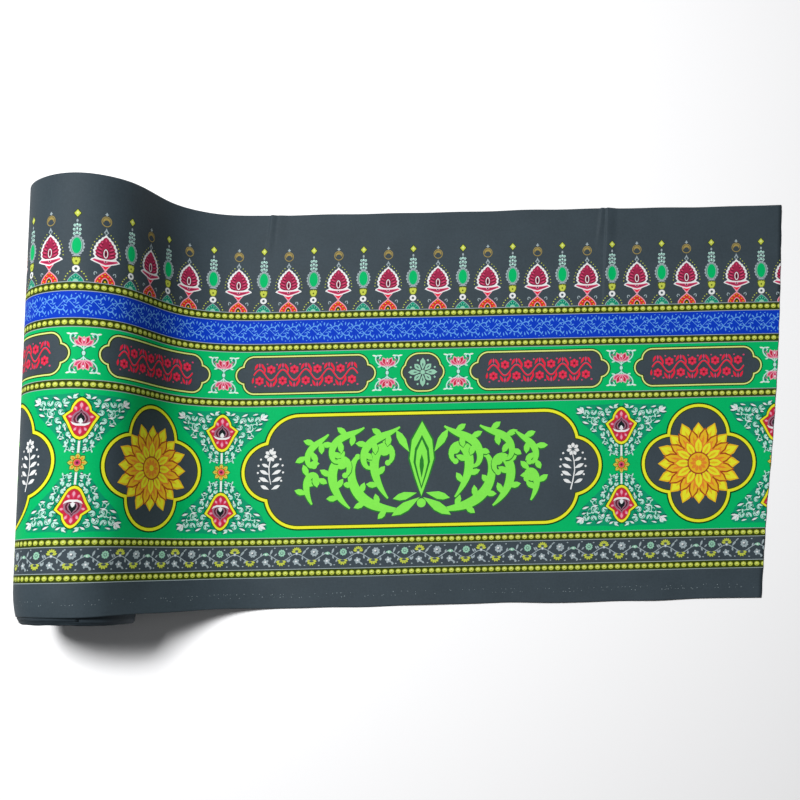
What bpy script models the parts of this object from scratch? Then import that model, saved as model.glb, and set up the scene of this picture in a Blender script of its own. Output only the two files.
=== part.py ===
"""A roll of printed banner cloth, with its loose end drawn off over the top and laid flat.

Metres, +Z up. X runs along the cloth from the roll to the cut end, Y runs across its width, and the
origin lies under the middle of the whole, on the surface that carries it. The cloth's printed face is
outside on the roll and on top of the laid sheet. Places along the cloth are given at its far edge, +Y.
"""
import math
from collections import namedtuple

import bmesh
import bpy

# The cloth. Its selvedges are part of it, and its threads lean a little against the edges.
CLOTH_WIDTH = 0.700
CLOTH_THICKNESS = 0.0015
FAR_EDGE_Y = 0.3565
CUT_END_X = 0.6624
SHEET_LEAN = 0.034
CUT_LEAN = 0.090
CUT_LEAN_REACH = 0.25

# The roll, out to the printed face of the outermost turn. It sags onto a small flat spot.
ROLL_RADIUS = 0.0991
ROLL_SAG = 0.0010
ROLL_X = -0.5358
ROLL_LEAN = 0.0391
ROLL_STEPS = 60
LAST_EVEN_TURN_STEP = 37
TOP_STEPS = 4
TURN_GAP = 0.0004
CUTTER_WIDTH = 0.30
CUTTER_DEPTH = 0.02
CUTTER_OVERLENGTH = 1.3

# The inner turns have crept out of the near end by this much, so the outer turn overhangs at the far end.
CREEP = 0.0095

# How the wound form's end faces stand in or out, from its rim to its middle. At the near end, where the
# inner turns show, they are wound a little tighter.
EndRing = namedtuple("EndRing", "radius_share out")
FAR_RINGS = (
    EndRing(1.00, -0.0010),
    EndRing(0.98, 0.0000),
    EndRing(0.84, 0.0015),
    EndRing(0.62, -0.0020),
    EndRing(0.40, 0.0010),
    EndRing(0.16, 0.0020),
)
NEAR_RINGS = (
    EndRing(1.00, -0.0700),
    EndRing(0.98, -0.0300),
    EndRing(0.95, -0.0100),
    EndRing(0.94, -0.0010),
    EndRing(0.92, 0.0000),
    EndRing(0.80, -0.0025),
    EndRing(0.60, 0.0000),
    EndRing(0.40, -0.0030),
    EndRing(0.16, -0.0010),
)

# The stretch where the cloth leaves the roll and flares out to the floor. Past FLARE_BLEND_START in from
# the far edge it leaves higher up and comes down in a gentler ramp, on its way to a flare that it would
# reach at FLARE_BLEND_END, beyond the near edge.
Flare = namedtuple("Flare", "leave_angle run top_pull foot_pull")
FAR_FLARE = Flare(math.radians(32.2), 0.294, 0.080, 0.176)
GENTLE_FLARE = Flare(math.radians(70.4), 0.420, 0.0921, 0.020)
FLARE_BLEND_START = 0.341
FLARE_BLEND_END = 1.273
FLARE_STEPS = 13
FLARE_SAMPLES = 120
MEET_X = -0.3134

# Low folds of the laid sheet, each a ridge that starts at one edge and fades out across the width.
Fold = namedtuple("Fold", "x half_width height edge reach")
FOLDS = (
    Fold(-0.248, 0.016, 0.0030, "far", 0.13),
    Fold(0.343, 0.020, 0.0032, "far", 0.20),
    Fold(-0.093, 0.090, 0.0020, "near", 0.10),
    Fold(0.277, 0.080, 0.0016, "near", 0.09),
    Fold(0.527, 0.070, 0.0018, "far", 0.10),
)
SHEET_PITCH = 0.056
ROWS = (0.0, 0.035, 0.070, 0.110, 0.155, 0.200, 0.250, 0.300, 0.350, 0.420, 0.500, 0.560, 0.610, 0.645, 0.675, CLOTH_WIDTH)

CLOTH_COLOUR = (0.045, 0.058, 0.070, 1.0)
CLOTH_ROUGHNESS = 0.82

ROLL_Z = ROLL_RADIUS - ROLL_SAG
ROLL_STRETCH = math.hypot(1.0, ROLL_LEAN)
FLAT_HALF = math.sqrt(ROLL_RADIUS ** 2 - ROLL_Z ** 2)


def smooth(share):
    """An even rise from 0 to 1 as share goes from 0 to 1."""
    share = min(max(share, 0.0), 1.0)
    return share * share * (3.0 - 2.0 * share)


def lean_at(x):
    """How far the cloth's cross line at x leans towards +X, for each metre of width."""
    return SHEET_LEAN + (CUT_LEAN - SHEET_LEAN) * smooth((x - CUT_END_X + CUT_LEAN_REACH) / CUT_LEAN_REACH)


def fold_lift(x, across):
    """Height of the low folds above the surface, at x along the sheet and across from the near edge."""
    lift = 0.0
    for fold in FOLDS:
        from_edge = CLOTH_WIDTH - across if fold.edge == "far" else across
        beside = (x - fold.x) / fold.half_width
        if abs(beside) < 1.0:
            lift += fold.height * (1.0 - beside * beside) ** 2 * (1.0 - smooth(from_edge / fold.reach))
    return lift


def flare_at(from_far):
    """The flare at a distance in from the far edge."""
    share = smooth((from_far - FLARE_BLEND_START) / (FLARE_BLEND_END - FLARE_BLEND_START))
    return Flare(*(far + (near - far) * share for far, near in zip(FAR_FLARE, GENTLE_FLARE)))


def flare_curve(roll_x, flare):
    """Points of the flare between the roll and the floor, along a cubic curve."""
    top_x = roll_x + ROLL_RADIUS * ROLL_STRETCH * math.cos(flare.leave_angle)
    top_z = ROLL_Z + ROLL_RADIUS * math.sin(flare.leave_angle)
    foot_x = roll_x + flare.run
    points = (
        (top_x, top_z),
        (top_x + flare.top_pull * math.sin(flare.leave_angle), top_z - flare.top_pull * math.cos(flare.leave_angle)),
        (foot_x - flare.foot_pull, CLOTH_THICKNESS),
        (foot_x, CLOTH_THICKNESS),
    )
    curve = []
    for sample in range(FLARE_SAMPLES + 1):
        share = sample / FLARE_SAMPLES
        rest = 1.0 - share
        weights = (rest ** 3, 3.0 * rest ** 2 * share, 3.0 * rest * share ** 2, share ** 3)
        curve.append(tuple(sum(w * point[axis] for w, point in zip(weights, points)) for axis in (0, 1)))
    return curve


def height_on(curve, x):
    """Height of the flare at x. Past its foot the cloth lies on the floor."""
    for (x0, z0), (x1, z1) in zip(curve, curve[1:]):
        if x0 <= x <= x1:
            return z0 + (z1 - z0) * (x - x0) / (x1 - x0)
    return CLOTH_THICKNESS


def sheet_stations():
    """Places along the sheet from where all its rows meet: an even pitch, with closer ones on each fold."""
    count = round((CUT_END_X - MEET_X) / SHEET_PITCH)
    places = [MEET_X + (CUT_END_X - MEET_X) * step / count for step in range(count + 1)]
    for fold in FOLDS:
        inner = [fold.x + fold.half_width * share for share in (-1.0, -0.6, -0.3, 0.0, 0.3, 0.6, 1.0)]
        places = [x for x in places if x < inner[0] - 0.004 or x > inner[-1] + 0.004] + inner
    return sorted(places)


def cloth_row(from_far):
    """The printed face along one row, from under the roll over its top to the cut end: (x, z) points."""
    roll_x = ROLL_X - (ROLL_LEAN - SHEET_LEAN) * from_far
    flare = flare_at(from_far)
    row = [(roll_x + FLAT_HALF, 0.0), (roll_x, 0.0), (roll_x - FLAT_HALF, 0.0)]
    step = 2.0 * math.pi / ROLL_STEPS
    angles = [1.5 * math.pi - index * step for index in range(2, LAST_EVEN_TURN_STEP + 1)]
    to_leave = flare.leave_angle - angles[-1]
    for angle in angles + [angles[-1] + to_leave * part / TOP_STEPS for part in range(1, TOP_STEPS + 1)]:
        reach = ROLL_RADIUS * ROLL_STRETCH * math.cos(angle)
        row.append((roll_x + reach, ROLL_Z + ROLL_RADIUS * math.sin(angle)))
    curve = flare_curve(roll_x, flare)
    leave_x = row[-1][0]
    for index in range(1, FLARE_STEPS):
        x = leave_x + (MEET_X - leave_x) * index / FLARE_STEPS
        row.append((x, height_on(curve, x)))
    return row + [(x, height_on(curve, x)) for x in sheet_stations()]


def cloth_material():
    """Dark woven cloth, matt."""
    material = bpy.data.materials.new("banner_cloth")
    material.use_nodes = True
    shader = material.node_tree.nodes["Principled BSDF"]
    shader.inputs["Base Color"].default_value = CLOTH_COLOUR
    shader.inputs["Roughness"].default_value = CLOTH_ROUGHNESS
    shader.inputs["Metallic"].default_value = 0.0
    return material


def add_object(name, mesh, collection, material):
    """Put a mesh in a collection as a named object, smooth where it bends softly."""
    item = bpy.data.objects.new(name, mesh)
    mesh.materials.append(material)
    mesh.shade_smooth()
    mesh.set_sharp_from_angle(angle=math.radians(40.0))
    collection.objects.link(item)
    return item


def make_loose_end(collection, material):
    """The outermost turn and the sheet drawn off it, in one length with its thickness under the print."""
    rows = {across: cloth_row(CLOTH_WIDTH - across) for across in ROWS}
    stations = len(rows[0.0])
    grid = bmesh.new()
    bmesh.ops.create_grid(grid, x_segments=stations - 1, y_segments=len(ROWS) - 1, size=0.5)
    for vert in grid.verts:
        across = ROWS[round((vert.co.y + 0.5) * (len(ROWS) - 1))]
        x, z = rows[across][round((vert.co.x + 0.5) * (stations - 1))]
        from_far = CLOTH_WIDTH - across
        vert.co = (x - lean_at(x) * from_far, FAR_EDGE_Y - from_far, z + fold_lift(x, across))
    mesh = bpy.data.meshes.new("loose_end")
    grid.to_mesh(mesh)
    grid.free()
    sheet = add_object("loose_end", mesh, collection, material)
    solid = sheet.modifiers.new("thickness", "SOLIDIFY")
    solid.thickness = CLOTH_THICKNESS
    solid.offset = -1.0
    solid.use_even_offset = True
    return sheet


def make_wound_roll(collection, cutters, material):
    """The turns under the outermost one, as one turned form with uneven ends and a flat spot below."""
    radius = ROLL_RADIUS - CLOTH_THICKNESS - TURN_GAP
    half = CLOTH_WIDTH / 2.0 * ROLL_STRETCH
    far_side = [(radius * ring.radius_share, half + ring.out) for ring in reversed(FAR_RINGS)]
    near_side = [(radius * ring.radius_share, -half - ring.out) for ring in NEAR_RINGS]
    profile = [(0.0, far_side[0][1]), *far_side, *near_side, (0.0, near_side[-1][1])]
    mesh = bpy.data.meshes.new("wound_roll")
    mesh.from_pydata([(x, 0.0, z) for x, z in profile], [(i, i + 1) for i in range(len(profile) - 1)], [])
    roll = add_object("wound_roll", mesh, collection, material)
    middle = (ROLL_X - ROLL_LEAN * CLOTH_WIDTH / 2.0, FAR_EDGE_Y - CLOTH_WIDTH / 2.0)
    roll.location = (middle[0] - CREEP * ROLL_LEAN, middle[1] - CREEP, ROLL_Z)
    roll.rotation_euler = (-math.pi / 2.0, 0.0, -math.atan(ROLL_LEAN))
    turn = roll.modifiers.new("turn", "SCREW")
    turn.steps = ROLL_STEPS
    turn.render_steps = ROLL_STEPS
    turn.use_merge_vertices = True
    turn.merge_threshold = 0.00005
    turn.use_smooth_shade = True

    cutter = make_flat_cutter(cutters, middle)
    flat = roll.modifiers.new("flat_spot", "BOOLEAN")
    flat.operation = "DIFFERENCE"
    flat.solver = "EXACT"
    flat.object = cutter
    return roll


def make_flat_cutter(cutters, middle):
    """A block that takes the underside of the wound form off, level with the turn that lies below it."""
    floor_top = CLOTH_THICKNESS + TURN_GAP
    block = bmesh.new()
    bmesh.ops.create_cube(block, size=1.0)
    bmesh.ops.scale(block, vec=(CUTTER_WIDTH, CLOTH_WIDTH * CUTTER_OVERLENGTH, CUTTER_DEPTH), verts=block.verts)
    mesh = bpy.data.meshes.new("flat_spot_cutter")
    block.to_mesh(mesh)
    block.free()
    cutter = bpy.data.objects.new("flat_spot_cutter", mesh)
    cutter.location = (middle[0], middle[1], floor_top - CUTTER_DEPTH / 2.0)
    cutter.hide_render = True
    cutter.display_type = "WIRE"
    cutters.objects.link(cutter)
    return cutter


for old in list(bpy.data.objects):
    bpy.data.objects.remove(old, do_unlink=True)

banner_roll = bpy.data.collections.new("banner_roll")
cutter_blocks = bpy.data.collections.new("cutters")
bpy.context.scene.collection.children.link(banner_roll)
bpy.context.scene.collection.children.link(cutter_blocks)
cloth = cloth_material()
make_loose_end(banner_roll, cloth)
make_wound_roll(banner_roll, cutter_blocks, cloth)
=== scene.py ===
"""A roll of printed banner cloth: its colours, weave, turns and print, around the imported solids."""
import math

import bpy
import numpy as np
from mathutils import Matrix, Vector
from mathutils.geometry import delaunay_2d_cdt


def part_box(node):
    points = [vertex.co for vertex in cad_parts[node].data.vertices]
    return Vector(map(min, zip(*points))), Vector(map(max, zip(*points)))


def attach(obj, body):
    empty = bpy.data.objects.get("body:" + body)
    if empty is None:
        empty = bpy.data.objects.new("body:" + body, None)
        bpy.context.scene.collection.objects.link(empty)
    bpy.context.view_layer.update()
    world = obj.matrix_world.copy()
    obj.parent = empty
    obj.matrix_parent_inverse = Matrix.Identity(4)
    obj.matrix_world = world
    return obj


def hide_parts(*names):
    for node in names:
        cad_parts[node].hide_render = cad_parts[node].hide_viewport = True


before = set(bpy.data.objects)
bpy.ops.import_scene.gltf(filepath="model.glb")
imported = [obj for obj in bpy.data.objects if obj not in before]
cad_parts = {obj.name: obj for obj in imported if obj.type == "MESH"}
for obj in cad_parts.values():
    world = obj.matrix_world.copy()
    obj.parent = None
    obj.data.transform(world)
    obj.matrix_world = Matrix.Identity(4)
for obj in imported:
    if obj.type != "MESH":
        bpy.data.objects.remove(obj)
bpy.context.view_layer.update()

# The cloth. One length of thin plain-woven polyester, dyed charcoal and printed on its outer face. It
# comes from under the roll's outer turn, passes once round, leaves it on the sheet's side, flares to the
# floor and lies flat to a slanted cut. Places are (u, v): u along the far edge, v from the near edge.
CLOTH_WIDTH = 0.700
CLOTH_THICKNESS = 0.0007
TURN_PITCH = 0.0015
ROLL_RADIUS = 0.0996
ROLL_LEAN = 0.0391
SHEET_LEAN = 0.034
CUT_SLANT = 0.056
CUT_REACH = 0.25
CREEP = 0.0095
LAP_ANGLE = math.radians(70)
FAR_FLARE = (math.radians(32.2), 0.294, 0.080, 0.176)
GENTLE_FLARE = (math.radians(70.4), 0.420, 0.0921, 0.020)
FLARE_BLEND_START = 0.341
FLARE_BLEND_LENGTH = 0.932
TURN_STATIONS = 420
FLARE_STATIONS = 121
PAST_CUT = 0.1
TABLE_PITCH = 0.001
ROLL_TO_CUT = 1.1982
ROLL_TOP_HEIGHT = 0.0991

_, sheet_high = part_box("loose_end")
far_y = sheet_high[1]
cut_u = sheet_high[0]
roll_x = cut_u - ROLL_TO_CUT
roll_z = sheet_high[2] - ROLL_TOP_HEIGHT
stretch = math.hypot(1, ROLL_LEAN)


def smooth(share):
    share = np.clip(share, 0, 1)
    return share * share * (3 - 2 * share)


def turn_radius(swept, full):
    """Outer radius of the winding; swept is 0 where the lap begins and full where the cloth leaves."""
    return ROLL_RADIUS - TURN_PITCH * (full - swept) / (2 * math.pi)


def cloth_row(inward):
    """One row of the cloth as (u, x, z), with x taken back along the sheet's lean to the far edge."""
    share = smooth((inward - FLARE_BLEND_START) / FLARE_BLEND_LENGTH)
    leave, run, top_pull, foot_pull = (
        far + (near - far) * share
        for far, near in zip(FAR_FLARE, GENTLE_FLARE)
    )
    middle = roll_x - (ROLL_LEAN - SHEET_LEAN) * inward
    full = LAP_ANGLE - leave + 2 * math.pi
    swept = np.linspace(0, full, TURN_STATIONS)
    radius = turn_radius(swept, full)
    x = middle + radius * stretch * np.cos(LAP_ANGLE - swept)
    z = np.maximum(roll_z + radius * np.sin(LAP_ANGLE - swept), 0)
    foot = middle + run
    pull_x = (x[-1], x[-1] + top_pull * math.sin(leave), foot - foot_pull, foot)
    pull_z = (z[-1], z[-1] - top_pull * math.cos(leave), CLOTH_THICKNESS, CLOTH_THICKNESS)
    along = np.linspace(0, 1, FLARE_STATIONS)[1:]
    weights = ((1 - along) ** 3, 3 * (1 - along) ** 2 * along, 3 * (1 - along) * along ** 2, along ** 3)
    x = np.concatenate([x, sum(w * pull for w, pull in zip(weights, pull_x)), [cut_u + PAST_CUT]])
    z = np.concatenate([z, sum(w * pull for w, pull in zip(weights, pull_z)), [CLOTH_THICKNESS]])
    u = np.concatenate([[0], np.cumsum(np.hypot(np.diff(x), np.diff(z)))])
    return u + cut_u + PAST_CUT - u[-1], x, z


row_steps = np.linspace(-0.01, CLOTH_WIDTH + 0.01, 73)
rows = [cloth_row(inward) for inward in row_steps]
lap_u = max(row[0][0] for row in rows)
leave_u = rows[len(rows) // 2][0][TURN_STATIONS - 1]
table_u = np.arange(min(row[0][0] for row in rows), cut_u + PAST_CUT, TABLE_PITCH)
table_x = np.array([np.interp(table_u, row[0], row[1]) for row in rows])
table_z = np.array([np.interp(table_u, row[0], row[2]) for row in rows])


def on_table(table, u, inward):
    """A value of the rows' table at each (u, inward)."""
    column = np.clip((u - table_u[0]) / TABLE_PITCH, 0, len(table_u) - 1.001)
    row = np.clip((inward - row_steps[0]) / (row_steps[1] - row_steps[0]), 0, len(row_steps) - 1.001)
    left, low = column.astype(int), row.astype(int)
    across, up = column - left, row - low
    near = table[low, left] * (1 - across) + table[low, left + 1] * across
    far = table[low + 1, left] * (1 - across) + table[low + 1, left + 1] * across
    return near * (1 - up) + far * up


# The creases that the photo shows at the far edge, each a sharp-sided ridge: where it starts along the
# edge, how it leans, its half width, its height and how far it runs in before it has faded.
CREASES = (
    (-0.2487, 0.12, 0.0065, 0.0030, 0.10),
    (-0.2349, 0.10, 0.0080, 0.0012, 0.09),
    (0.3409, 0.13, 0.0065, 0.0028, 0.08),
    (0.3517, 0.04, 0.0085, 0.0034, 0.24),
)


def lift_of(u, v):
    """How high the laid cloth stands off the floor: slow swells, wavy edges and the creases."""
    lies = smooth((u + 0.28) / 0.12)
    swell = 0.9 + 0.45 * np.sin(19 * u + 6 * v) + 0.35 * np.sin(
        31 * u - 9 * v + 1.3
    ) + 0.2 * np.sin(47 * u + 23 * v)
    near = np.exp(-v / 0.035) * (0.9 + 0.9 * np.sin(26 * u + 0.6) + 0.5 * np.sin(61 * u))
    far = np.exp(-(CLOTH_WIDTH - v) / 0.05) * (0.7 + 0.7 * np.sin(17 * u + 2.2) + 0.4 * np.sin(43 * u))
    lift = lies * 0.001 * (swell + near + far)
    for start, lean, half_width, height, reach in CREASES:
        from_edge = CLOTH_WIDTH - v
        beside = (u - start + lean * from_edge) / half_width
        bump = np.where(beside < 0, np.clip(1 + 2.2 * beside, 0, 1), np.clip(1 - beside / 2.4, 0, 1))
        lift += height * smooth(bump) * (1 - smooth(from_edge / reach))
    return lift


def cloth_at(u, v):
    """Points of the printed face, in the frame's metres."""
    inward = CLOTH_WIDTH - v
    x, z = on_table(table_x, u, inward), on_table(table_z, u, inward)
    curl = 1 - 0.055 * (1 - smooth((u - leave_u + 0.10) / 0.10)) * np.clip(1 - v / 0.045, 0, 1) ** 2
    middle = roll_x - (ROLL_LEAN - SHEET_LEAN) * inward
    x, z = middle + (x - middle) * curl, roll_z + (z - roll_z) * curl
    x = x - SHEET_LEAN * inward
    y = far_y - inward
    y = y + 0.0010 * np.exp(-v / 0.03) * (np.sin(14 * u) + 0.6 * np.sin(37 * u + 1))
    y = y - 0.0009 * np.exp(-inward / 0.03) * (1 + np.sin(11 * u + 2) * 0.6 + 0.4 * np.sin(53 * u))
    return np.stack([x, y, z + lift_of(u, v)], -1)


def cloth_normal(u, v):
    """The printed face's outward direction at each point."""
    step = 0.0015
    along = cloth_at(u + step, v) - cloth_at(u - step, v)
    across = cloth_at(u, v + step) - cloth_at(u, v - step)
    normal = np.cross(along, across)
    return normal / np.linalg.norm(normal, axis=-1, keepdims=True)


def cut_at(v):
    """Where the slanted cut crosses the cloth, with the small waver of a pair of shears."""
    bow = 0.0070 * np.sin(math.pi * np.clip((v - 0.16) / 0.58, 0, 1)) - 0.0035 * np.clip(1 - v / 0.25, 0, 1)
    return cut_u - CUT_SLANT * (CLOTH_WIDTH - v) + bow + 0.0004 * np.sin(140 * v) - 0.0004


def add_piece(name, points, faces, uv):
    """A mesh piece of the real object that rides on the one body and keeps the cloth's (u, v)."""
    mesh = bpy.data.meshes.new(name)
    mesh.from_pydata(points.tolist(), [], faces.tolist())
    layer = mesh.uv_layers.new(name="cloth")
    corners = np.empty(len(mesh.loops), dtype=np.int32)
    mesh.loops.foreach_get("vertex_index", corners)
    layer.data.foreach_set("uv", uv[corners].astype(np.float32).ravel())
    mesh.shade_smooth()
    piece = bpy.data.objects.new(name, mesh)
    bpy.context.scene.collection.objects.link(piece)
    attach(piece, "root")
    return piece


def grid_faces(columns, rows):
    first = (np.arange(columns - 1)[:, None] * rows + np.arange(rows - 1)[None, :]).ravel()
    return np.stack([first, first + rows, first + rows + 1, first + 1], -1)


fine_u = [np.arange(start - 0.05, start + 0.03, 0.002) for start, *_ in CREASES]
station_u = np.concatenate([np.arange(lap_u, -0.20, 0.004), np.arange(-0.20, cut_u, 0.009), *fine_u])
station_u = np.unique(np.append(station_u.round(3), cut_u))
station_u = station_u[(station_u >= lap_u) & (station_u <= cut_u)]
row_v = np.concatenate([[0, 0.002, 0.006], np.linspace(0.012, 0.688, 50), [0.694, 0.698, CLOTH_WIDTH]])
grid_u, grid_v = (a.ravel() for a in np.meshgrid(station_u, row_v, indexing="ij"))
grid_u = grid_u + (cut_at(grid_v) - cut_u) * smooth((grid_u - cut_u + CUT_REACH) / CUT_REACH)
cloth = add_piece(
    "banner_cloth", cloth_at(grid_u, grid_v), grid_faces(len(station_u), len(row_v)),
    np.stack([grid_u, grid_v], -1)
)
body = cloth.modifiers.new("thickness", "SOLIDIFY")
body.thickness = CLOTH_THICKNESS
body.offset = -1
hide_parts("loose_end")
cut_u - lap_u - CUT_SLANT * CLOTH_WIDTH / 2


class Value:
    """A socket of a material's nodes, with Python's operators for sums on it."""

    def __init__(self, tree, socket=None):
        self.tree = tree
        self.socket = socket

    def node(self, kind, settings, inputs, output=0):
        made = self.tree.nodes.new(kind)
        for key, setting in settings.items():
            setattr(made, key, setting)
        for key, value in inputs.items():
            if isinstance(value, Value):
                self.tree.links.new(value.socket, made.inputs[key])
            else:
                made.inputs[key].default_value = value
        return Value(self.tree, made.outputs[output])

    def noise(self, scale, detail, **rest):
        inputs = {"Vector": self, "Scale": scale, "Detail": detail, **rest}
        return self.node("ShaderNodeTexNoise", {}, inputs)

    def sum(self, operation, first, second):
        return self.node("ShaderNodeMath", {"operation": operation}, {0: first, 1: second})

    def __add__(self, other):
        return self.sum("ADD", self, other)

    def __sub__(self, other):
        return self.sum("SUBTRACT", self, other)

    def __mul__(self, other):
        return self.sum("MULTIPLY", self, other)


def linear(red, green, blue):
    """A colour as seen on a screen, in the units that the shader takes."""
    parts = [c / 255 for c in (red, green, blue)]
    return tuple(c / 12.92 if c <= 0.04045 else ((c + 0.055) / 1.055) ** 2.4 for c in parts)


THREAD_PITCH = 0.0006


def woven(name, colour, mottle=0.16, weave=0.00009, specular=0.06):
    """Dyed plain weave: crossing threads with painted shade between, slubs along both, slow unevenness of
    the dye.
    """
    material = bpy.data.materials.new(name)
    material.use_nodes = True
    tree = material.node_tree
    shader = tree.nodes["Principled BSDF"]
    shader.inputs["Specular IOR Level"].default_value = specular
    root = Value(tree)
    place = root.node("ShaderNodeUVMap", {"uv_map": "cloth"}, {})
    along = root.node("ShaderNodeSeparateXYZ", {}, {0: place}, 0)
    across = root.node("ShaderNodeSeparateXYZ", {}, {0: place}, 1)
    thread = math.pi / THREAD_PITCH
    warp = root.node("ShaderNodeMath", {"operation": "SINE"}, {0: across * thread})
    weft = root.node("ShaderNodeMath", {"operation": "SINE"}, {0: along * thread})
    thread_relief_and_shade = warp * weft * 0.5 + 0.5
    stretched = []
    for scale in ((60, 2400, 1), (2400, 60, 1)):
        laid = root.node("ShaderNodeVectorMath", {"operation": "MULTIPLY"}, {0: place, 1: scale})
        stretched.append(laid.noise(1.0, 1.0))
    slubs = stretched[0] + stretched[1] - 1.0
    cloud = place.noise(14.0, 4.0, Roughness=0.6)
    blot = place.noise(260.0, 2.0)
    # The threads' relief also darkens the colour between the threads as painted shade; in the bump below it
    # is real relief.
    tone = (cloud - 0.5) * mottle + (blot - 0.5) * mottle * 0.7 + slubs * 0.18 + (thread_relief_and_shade - 0.5) * 0.10 + 1.0
    dark = tuple(c * 0.55 for c in linear(*colour))
    light = tuple(min(c * 1.45, 1) for c in linear(*colour))
    mixed = root.node(
        "ShaderNodeMix",
        {"data_type": "RGBA"},
        {0: (tone - 0.55) * 1.11, 6: (*dark, 1), 7: (*light, 1)},
        2,
    )
    tree.links.new(mixed.socket, shader.inputs["Base Color"])
    tree.links.new(((cloud - 0.5) * 0.12 - slubs * 0.1 + 0.66).socket, shader.inputs["Roughness"])
    rumple = place.noise(21.0, 3.0)
    height = (thread_relief_and_shade + slubs * 0.8) * (weave / 0.001) + rumple * 1.1
    bump = root.node("ShaderNodeBump", {}, {"Strength": 0.55, "Distance": 0.001, "Height": height})
    tree.links.new(bump.socket, shader.inputs["Normal"])
    return material


cloth.data.materials.append(woven("charcoal_cloth", (54, 65, 72), mottle=0.42, specular=0.16))

# The turns under the outermost one. They are the same cloth, wound from a flattened start in the middle,
# a little loosely, and they have crept out of the near end unevenly. Each turn here stands for about
# three of the real cloth.
TURN_THICKNESS = 0.0010
TURN_CLEARANCE = 0.0002
CORE_RADIUS = 0.0024
CORE_SPREAD = 0.008
CORE_REACH = 0.030

lap_radius = turn_radius(0, LAP_ANGLE - FAR_FLARE[0] + 2 * math.pi)
turns = (lap_radius - TURN_CLEARANCE - CORE_RADIUS) / TURN_PITCH
angles = [0.0]
while angles[-1] < turns * 2 * math.pi:
    radius = lap_radius - angles[-1] / (2 * math.pi) * TURN_PITCH
    angles.append(angles[-1] + min(max(0.005 / radius, math.radians(4)), math.radians(14)))
back = np.array(angles)
radius = lap_radius - TURN_PITCH * back / (2 * math.pi) - TURN_CLEARANCE
spread = 1 + CORE_SPREAD / radius * np.exp(-radius / CORE_REACH)
turn_x = radius * spread * stretch * np.cos(LAP_ANGLE + back)
turn_z = radius * (1 - 0.25 * np.exp(-radius / CORE_REACH)) * np.sin(LAP_ANGLE + back)
rng = np.random.default_rng(7)
knots = np.linspace(0, back[-1], int(turns * 5))
layer = np.interp(
    back, knots, np.convolve(rng.normal(0, 0.0016, len(knots) + 10), np.ones(11) / 3.6, "valid"),
)
flutter = 0.0004 * np.sin(5 * back) + 0.0003 * np.sin(13.7 * back)
near_end = -CREEP + 0.004 * np.exp(-back / 3) + layer + flutter
far_end = CLOTH_WIDTH - CREEP - layer * 0.8 + flutter
ends = np.stack([near_end, near_end + 0.006, near_end + 0.03, near_end + 0.07, far_end - 0.006, far_end], -1)
tight = np.array([0.94, 0.945, 0.972, 1, 1, 1])
turn_points = np.empty((*ends.shape, 3))
turn_points[..., 0] = roll_x + turn_x[:, None] * tight - ROLL_LEAN * (
    CLOTH_WIDTH - ends + turn_x[:, None] * ROLL_LEAN
)
turn_points[..., 1] = far_y - CLOTH_WIDTH + ends - turn_x[:, None] * ROLL_LEAN
turn_points[..., 2] = roll_z + turn_z[:, None] * tight
turn_uv = np.stack(np.broadcast_arrays((lap_u - back * radius)[:, None], ends), -1)
wound = add_piece(
    "wound_turns", turn_points.reshape(-1, 3), grid_faces(*ends.shape)[:, ::-1], turn_uv.reshape(-1, 2)
)
layers = wound.modifiers.new("thickness", "SOLIDIFY")
layers.thickness = TURN_THICKNESS
layers.offset = -1
# The turns take the cloth's charcoal a little darker: painted shade in the roll's end.
wound.data.materials.append(woven("charcoal_turns", (50, 60, 67), mottle=0.5, specular=0.16))
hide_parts("wound_roll")

# The print. Inks lie in the cloth's face as flat shapes, cut here from outlines laid over each other in
# the order of printing. Where nothing is printed the dyed cloth shows. Outlines are complex numbers,
# u + v * 1j, in metres, and each motif is drawn round 0 in millimetres.
MM = 0.001
REPEAT = 0.975
PRINT_LIFT = 0.0002
PRINT_GRID = 0.008
WELL_OUTSIDE = 1.2
CUT_MARGIN = 0.0006
LAP_MARGIN = 0.004
painted = []
ink_corners = {}


def paint(ink, outline, at=0, size=MM):
    """Lay an outline of one ink at a place; ink None is bare cloth."""
    painted.append((ink, at + size * np.asarray(outline, dtype=complex)))


def disc(centre, wide, tall=None, sides=12):
    angle = np.arange(sides) * 2 * math.pi / sides
    return centre + wide * np.cos(angle) + 1j * (tall or wide) * np.sin(angle)


def ray(degrees):
    """A step of 1 in a direction, counted from along the cloth."""
    return np.exp(1j * math.radians(degrees))


def blade(base, tip, width, sides=5):
    """A leaf or petal from base to tip, widest past its middle."""
    share = np.linspace(0, 1, sides)
    half = width / 2 * np.sin(math.pi * share ** 1.25)
    spine = base + (tip - base) * share
    across = 1j * (tip - base) / abs(tip - base)
    return np.concatenate([spine - across * half, (spine + across * half)[-2:0:-1]])


def stroke(spine, start, end=None, middle=None):
    """A brush stroke along a spine, from one width to another."""
    share = np.linspace(0, 1, len(spine))
    end = start if end is None else end
    width = start + (end - start) * share
    if middle:
        width = width + (middle - (start + end) / 2) * np.sin(math.pi * share)
    across = 1j * np.gradient(spine)
    across = across / abs(across)
    return np.concatenate([spine - across * width / 2, (spine + across * width / 2)[::-1]])


def tendril(start, heading, length, bend, coil=0, steps=14):
    """A spine that sets off at heading degrees, bends by bend degrees and coils by coil more."""
    share = np.linspace(0, 1, steps + 1)
    angle = np.radians(heading + bend * share + coil * share ** 3)
    run = np.concatenate([[0], np.cumsum(np.exp(1j * (angle[1:] + angle[:-1]) / 2)) * length / steps])
    return start + run


def repeats(first, pitch, reach=0.1):
    """Places of a motif along the whole cloth, a pitch apart."""
    lowest = math.ceil((lap_u - reach - first) / pitch)
    return [first + pitch * step for step in range(lowest, math.floor((cut_u + reach - first) / pitch) + 1)]


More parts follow.
